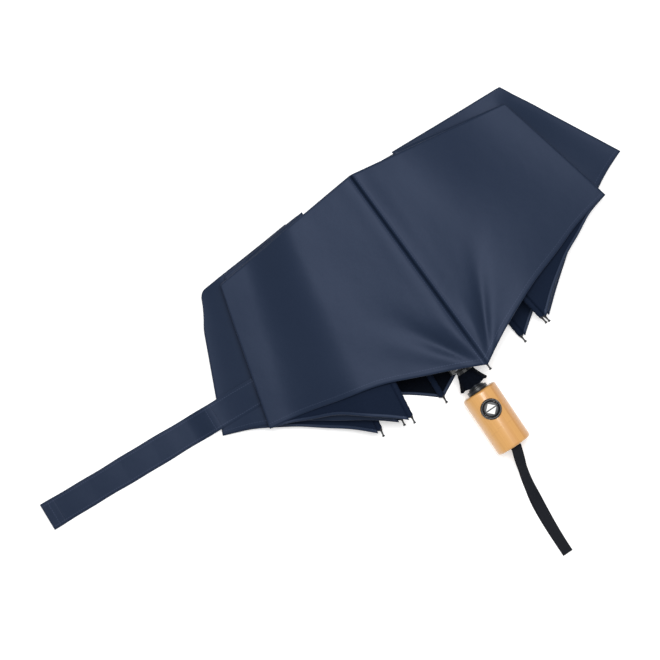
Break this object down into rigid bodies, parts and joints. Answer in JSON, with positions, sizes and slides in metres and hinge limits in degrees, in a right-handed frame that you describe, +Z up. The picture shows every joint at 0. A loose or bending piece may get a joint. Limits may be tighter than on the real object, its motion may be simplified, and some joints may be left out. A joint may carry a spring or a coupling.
{
  "type": "folding umbrella",
  "caption": "Compact automatic folding umbrella, telescoped shut and lying flat, with a round bamboo handle, push button, folded ribs and loose pleated navy canopy with closing strap.",
  "frame": {"origin": "centre of the handle's flat end face", "axes": "+Y along the shaft to the crown, +Z up from the surface the umbrella lies on, +X to the right of a viewer who looks down with the crown away from them; it lies on z = -0.0175"},
  "size_m": [0.6417, 0.407, 0.0479],
  "materials": {
    "bamboo": "satin lacquer",
    "black_plastic": "moulded",
    "dark_steel": "black plated",
    "alloy": "drawn",
    "pongee": "fine plain weave",
    "ribbon": "woven webbing"
  },
  "bodies": {
    "handle": {"handle": "bamboo", "button_bezel": "black_plastic", "collar": "black_plastic", "lower_tube": "dark_steel", "wrist_strap": "ribbon"},
    "button": {"push_button": "black_plastic"},
    "middle_tube": {"middle_tube": "dark_steel"},
    "canopy_head": {"upper_tube": "dark_steel", "top_notch": "black_plastic", "gore_1_2": "pongee", "gore_2_3": "pongee", "gore_3_4": "pongee", "gore_4_5": "pongee", "gore_5_6": "pongee", "gore_6_7": "pongee", "gore_7_8": "pongee", "gore_8_1": "pongee"},
    "runner": {"runner": "black_plastic", "runner_rosette": "ribbon"},
    "closing_strap": {"closing_strap": "pongee"},
    "inner_rib_1": {"inner_rib_1": "alloy"},
    "middle_rib_1": {"middle_rib_1": "alloy"},
    "outer_rib_1": {"outer_rib_1": "dark_steel", "rib_tip_1": "black_plastic"},
    "stretcher_1": {"stretcher_1": "dark_steel"},
    "inner_rib_2": {"inner_rib_2": "alloy"},
    "middle_rib_2": {"middle_rib_2": "alloy"},
    "outer_rib_2": {"outer_rib_2": "dark_steel", "rib_tip_2": "black_plastic"},
    "stretcher_2": {"stretcher_2": "dark_steel"},
    "inner_rib_3": {"inner_rib_3": "alloy"},
    "middle_rib_3": {"middle_rib_3": "alloy"},
    "outer_rib_3": {"outer_rib_3": "dark_steel", "rib_tip_3": "black_plastic"},
    "stretcher_3": {"stretcher_3": "dark_steel"},
    "inner_rib_4": {"inner_rib_4": "alloy"},
    "middle_rib_4": {"middle_rib_4": "alloy"},
    "outer_rib_4": {"outer_rib_4": "dark_steel", "rib_tip_4": "black_plastic"},
    "stretcher_4": {"stretcher_4": "dark_steel"},
    "inner_rib_5": {"inner_rib_5": "alloy"},
    "middle_rib_5": {"middle_rib_5": "alloy"},
    "outer_rib_5": {"outer_rib_5": "dark_steel", "rib_tip_5": "black_plastic"},
    "stretcher_5": {"stretcher_5": "dark_steel"},
    "inner_rib_6": {"inner_rib_6": "alloy"},
    "middle_rib_6": {"middle_rib_6": "alloy"},
    "outer_rib_6": {"outer_rib_6": "dark_steel", "rib_tip_6": "black_plastic"},
    "stretcher_6": {"stretcher_6": "dark_steel"},
    "inner_rib_7": {"inner_rib_7": "alloy"},
    "middle_rib_7": {"middle_rib_7": "alloy"},
    "outer_rib_7": {"outer_rib_7": "dark_steel", "rib_tip_7": "black_plastic"},
    "stretcher_7": {"stretcher_7": "dark_steel"},
    "inner_rib_8": {"inner_rib_8": "alloy"},
    "middle_rib_8": {"middle_rib_8": "alloy"},
    "outer_rib_8": {"outer_rib_8": "dark_steel", "rib_tip_8": "black_plastic"},
    "stretcher_8": {"stretcher_8": "dark_steel"}
  },
  "joints": [
    {"name": "button_press", "type": "slide", "parent": "handle", "child": "button", "axis": [0, 0, -1], "range_m": [0, 0.002], "stiffness_N_per_m": 300, "springref_m": -0.001},
    {"name": "middle_tube_slide", "type": "slide", "parent": "handle", "child": "middle_tube", "axis": [0, 1, 0], "range_m": [0, 0.132]},
    {"name": "upper_tube_slide", "type": "slide", "parent": "middle_tube", "child": "canopy_head", "axis": [0, 1, 0], "range_m": [0, 0.132]},
    {"name": "arm_4_crown_hinge", "type": "hinge", "parent": "canopy_head", "child": "inner_rib_4", "pos_m": [-0.00746, 0.281, -0.00466], "axis": [0, 0, 1], "range_deg": [0, 8.29], "deforming": ["gore_1_2", "gore_2_3", "gore_3_4", "gore_4_5", "gore_5_6", "gore_6_7", "gore_7_8", "gore_8_1"]},
    {"name": "runner_slide", "type": "slide", "parent": "canopy_head", "child": "runner", "axis": [0, 1, 0], "range_m": [-0.00128, 0]},
    {"name": "closing_strap_draw", "type": "slide", "parent": "canopy_head", "child": "closing_strap", "axis": [1, 0, 0], "range_m": [0, 0.105]},
    {"name": "arm_1_crown_hinge", "type": "hinge", "parent": "canopy_head", "child": "inner_rib_1", "pos_m": [0.00198, 0.281, 0.00857], "axis": [0, 0, 1], "range_deg": [-1.7, 0]},
    {"name": "arm_1_lower_fold", "type": "hinge", "parent": "inner_rib_1", "child": "middle_rib_1", "pos_m": [0.0072, 0.13508, 0.0216], "axis": [0, 0, 1], "range_deg": [0, 2.89]},
    {"name": "arm_1_upper_fold", "type": "hinge", "parent": "middle_rib_1", "child": "outer_rib_1", "pos_m": [0.0124, 0.285, 0.0216], "axis": [0, 0, 1], "range_deg": [-2.42, 0]},
    {"name": "arm_1_runner_hinge", "type": "hinge", "parent": "runner", "child": "stretcher_1", "pos_m": [0.0025, 0.0905, 0.01082], "axis": [0, 0, 1], "range_deg": [0, 1.44]},
    {"name": "arm_2_crown_hinge", "type": "hinge", "parent": "canopy_head", "child": "inner_rib_2", "pos_m": [-0.00466, 0.281, 0.00746], "axis": [0, 0, 1], "range_deg": [0, 5.62]},
    {"name": "arm_2_lower_fold", "type": "hinge", "parent": "inner_rib_2", "child": "middle_rib_2", "pos_m": [-0.02376, 0.13624, 0.0152], "axis": [0, 0, 1], "range_deg": [-9.56, 0]},
    {"name": "arm_2_upper_fold", "type": "hinge", "parent": "middle_rib_2", "child": "outer_rib_2", "pos_m": [-0.04092, 0.28527, 0.0152], "axis": [0, 0, 1], "range_deg": [0, 7.94]},
    {"name": "arm_2_runner_hinge", "type": "hinge", "parent": "runner", "child": "stretcher_2", "pos_m": [-0.00588, 0.0905, 0.00791], "axis": [0, 0, 1], "range_deg": [-4.72, 0]},
    {"name": "arm_3_crown_hinge", "type": "hinge", "parent": "canopy_head", "child": "inner_rib_3", "pos_m": [-0.00857, 0.281, 0.00198], "axis": [0, 0, 1], "range_deg": [0, 6.38]},
    {"name": "arm_3_lower_fold", "type": "hinge", "parent": "inner_rib_3", "child": "middle_rib_3", "pos_m": [-0.027, 0.13615, 0.00799], "axis": [0, 0, 1], "range_deg": [-10.87, 0]},
    {"name": "arm_3_upper_fold", "type": "hinge", "parent": "middle_rib_3", "child": "outer_rib_3", "pos_m": [-0.0465, 0.28489, 0.00799], "axis": [0, 0, 1], "range_deg": [0, 9.09]},
    {"name": "arm_3_runner_hinge", "type": "hinge", "parent": "runner", "child": "stretcher_3", "pos_m": [-0.01082, 0.0905, -0.0005], "axis": [0, 0, 1], "range_deg": [-5.36, 0]},
    {"name": "arm_4_lower_fold", "type": "hinge", "parent": "inner_rib_4", "child": "middle_rib_4", "pos_m": [-0.03492, 0.13759, 0], "axis": [0, 0, 1], "range_deg": [-14.11, 0]},
    {"name": "arm_4_upper_fold", "type": "hinge", "parent": "middle_rib_4", "child": "outer_rib_4", "pos_m": [-0.06014, 0.28547, 0], "axis": [0, 0, 1], "range_deg": [0, 11.8]},
    {"name": "arm_4_runner_hinge", "type": "hinge", "parent": "runner", "child": "stretcher_4", "pos_m": [-0.00941, 0.0905, -0.00588], "axis": [0, 0, 1], "range_deg": [-6.84, 0]},
    {"name": "arm_5_crown_hinge", "type": "hinge", "parent": "canopy_head", "child": "inner_rib_5", "pos_m": [-0.00198, 0.281, -0.00857], "axis": [0, 0, 1], "range_deg": [0, 0.934]},
    {"name": "arm_5_lower_fold", "type": "hinge", "parent": "inner_rib_5", "child": "middle_rib_5", "pos_m": [-0.0108, 0.13525, -0.01064], "axis": [0, 0, 1], "range_deg": [-1.59, 0]},
    {"name": "arm_5_upper_fold", "type": "hinge", "parent": "middle_rib_5", "child": "outer_rib_5", "pos_m": [-0.0186, 0.28506, -0.01064], "axis": [0, 0, 1], "range_deg": [0, 1.32]},
    {"name": "arm_5_runner_hinge", "type": "hinge", "parent": "runner", "child": "stretcher_5", "pos_m": [-0.0025, 0.0905, -0.01082], "axis": [0, 0, 1], "range_deg": [-0.813, 0]},
    {"name": "arm_6_crown_hinge", "type": "hinge", "parent": "canopy_head", "child": "inner_rib_6", "pos_m": [0.00466, 0.281, -0.00746], "axis": [0, 0, 1], "range_deg": [-4.05, 0]},
    {"name": "arm_6_lower_fold", "type": "hinge", "parent": "inner_rib_6", "child": "middle_rib_6", "pos_m": [0.02286, 0.13612, -0.01], "axis": [0, 0, 1], "range_deg": [0, 6.9]},
    {"name": "arm_6_upper_fold", "type": "hinge", "parent": "middle_rib_6", "child": "outer_rib_6", "pos_m": [0.03937, 0.28523, -0.01], "axis": [0, 0, 1], "range_deg": [-5.78, 0]},
    {"name": "arm_6_runner_hinge", "type": "hinge", "parent": "runner", "child": "stretcher_6", "pos_m": [0.00588, 0.0905, -0.01101], "axis": [0, 0, 1], "range_deg": [0, 3.41]},
    {"name": "arm_7_crown_hinge", "type": "hinge", "parent": "canopy_head", "child": "inner_rib_7", "pos_m": [0.00857, 0.281, -0.00198], "axis": [0, 0, 1], "range_deg": [-7.84, 0]},
    {"name": "arm_7_lower_fold", "type": "hinge", "parent": "inner_rib_7", "child": "middle_rib_7", "pos_m": [0.03312, 0.13706, -0.0008], "axis": [0, 0, 1], "range_deg": [0, 13.36]},
    {"name": "arm_7_upper_fold", "type": "hinge", "parent": "middle_rib_7", "child": "outer_rib_7", "pos_m": [0.05704, 0.28516, -0.0008], "axis": [0, 0, 1], "range_deg": [-11.27, 0]},
    {"name": "arm_7_runner_hinge", "type": "hinge", "parent": "runner", "child": "stretcher_7", "pos_m": [0.01082, 0.0905, -0.0055], "axis": [0, 0, 1], "range_deg": [0, 6.53]},
    {"name": "arm_8_crown_hinge", "type": "hinge", "parent": "canopy_head", "child": "inner_rib_8", "pos_m": [0.00746, 0.281, 0.00466], "axis": [0, 0, 1], "range_deg": [-7.5, 0]},
    {"name": "arm_8_lower_fold", "type": "hinge", "parent": "inner_rib_8", "child": "middle_rib_8", "pos_m": [0.03168, 0.13701, 0.00799], "axis": [0, 0, 1], "range_deg": [0, 12.78]},
    {"name": "arm_8_upper_fold", "type": "hinge", "parent": "middle_rib_8", "child": "outer_rib_8", "pos_m": [0.05456, 0.28527, 0.00799], "axis": [0, 0, 1], "range_deg": [-10.8, 0]},
    {"name": "arm_8_runner_hinge", "type": "hinge", "parent": "runner", "child": "stretcher_8", "pos_m": [0.00941, 0.0905, 0.00338], "axis": [0, 0, 1], "range_deg": [0, 6.25]}
  ],
  "couplings": [
    {"joint": "upper_tube_slide", "follows": "middle_tube_slide", "ratio": 1},
    {"joint": "runner_slide", "follows": "arm_4_crown_hinge", "m_per_rad": -0.00881},
    {"joint": "closing_strap_draw", "follows": "arm_4_crown_hinge", "m_per_rad": 0.7257},
    {"joint": "arm_1_crown_hinge", "follows": "arm_4_crown_hinge", "ratio": -0.20453},
    {"joint": "arm_1_lower_fold", "follows": "arm_4_crown_hinge", "ratio": 0.34832},
    {"joint": "arm_1_upper_fold", "follows": "arm_4_crown_hinge", "ratio": -0.29205},
    {"joint": "arm_1_runner_hinge", "follows": "arm_4_crown_hinge", "ratio": 0.174},
    {"joint": "arm_2_crown_hinge", "follows": "arm_4_crown_hinge", "ratio": 0.67734},
    {"joint": "arm_2_lower_fold", "follows": "arm_4_crown_hinge", "ratio": -1.1533},
    {"joint": "arm_2_upper_fold", "follows": "arm_4_crown_hinge", "ratio": 0.95754},
    {"joint": "arm_2_runner_hinge", "follows": "arm_4_crown_hinge", "ratio": -0.56881},
    {"joint": "arm_3_crown_hinge", "follows": "arm_4_crown_hinge", "ratio": 0.76913},
    {"joint": "arm_3_lower_fold", "follows": "arm_4_crown_hinge", "ratio": -1.3106},
    {"joint": "arm_3_upper_fold", "follows": "arm_4_crown_hinge", "ratio": 1.0968},
    {"joint": "arm_3_runner_hinge", "follows": "arm_4_crown_hinge", "ratio": -0.64675},
    {"joint": "arm_4_lower_fold", "follows": "arm_4_crown_hinge", "ratio": -1.7018},
    {"joint": "arm_4_upper_fold", "follows": "arm_4_crown_hinge", "ratio": 1.4233},
    {"joint": "arm_4_runner_hinge", "follows": "arm_4_crown_hinge", "ratio": -0.82545},
    {"joint": "arm_5_crown_hinge", "follows": "arm_4_crown_hinge", "ratio": 0.11262},
    {"joint": "arm_5_lower_fold", "follows": "arm_4_crown_hinge", "ratio": -0.19176},
    {"joint": "arm_5_upper_fold", "follows": "arm_4_crown_hinge", "ratio": 0.15883},
    {"joint": "arm_5_runner_hinge", "follows": "arm_4_crown_hinge", "ratio": -0.09805},
    {"joint": "arm_6_crown_hinge", "follows": "arm_4_crown_hinge", "ratio": -0.48898},
    {"joint": "arm_6_lower_fold", "follows": "arm_4_crown_hinge", "ratio": 0.83256},
    {"joint": "arm_6_upper_fold", "follows": "arm_4_crown_hinge", "ratio": -0.69732},
    {"joint": "arm_6_runner_hinge", "follows": "arm_4_crown_hinge", "ratio": 0.4117},
    {"joint": "arm_7_crown_hinge", "follows": "arm_4_crown_hinge", "ratio": -0.94611},
    {"joint": "arm_7_lower_fold", "follows": "arm_4_crown_hinge", "ratio": 1.6118},
    {"joint": "arm_7_upper_fold", "follows": "arm_4_crown_hinge", "ratio": -1.3591},
    {"joint": "arm_7_runner_hinge", "follows": "arm_4_crown_hinge", "ratio": 0.78742},
    {"joint": "arm_8_crown_hinge", "follows": "arm_4_crown_hinge", "ratio": -0.90498},
    {"joint": "arm_8_lower_fold", "follows": "arm_4_crown_hinge", "ratio": 1.5413},
    {"joint": "arm_8_upper_fold", "follows": "arm_4_crown_hinge", "ratio": -1.3028},
    {"joint": "arm_8_runner_hinge", "follows": "arm_4_crown_hinge", "ratio": 0.75322}
  ]
}
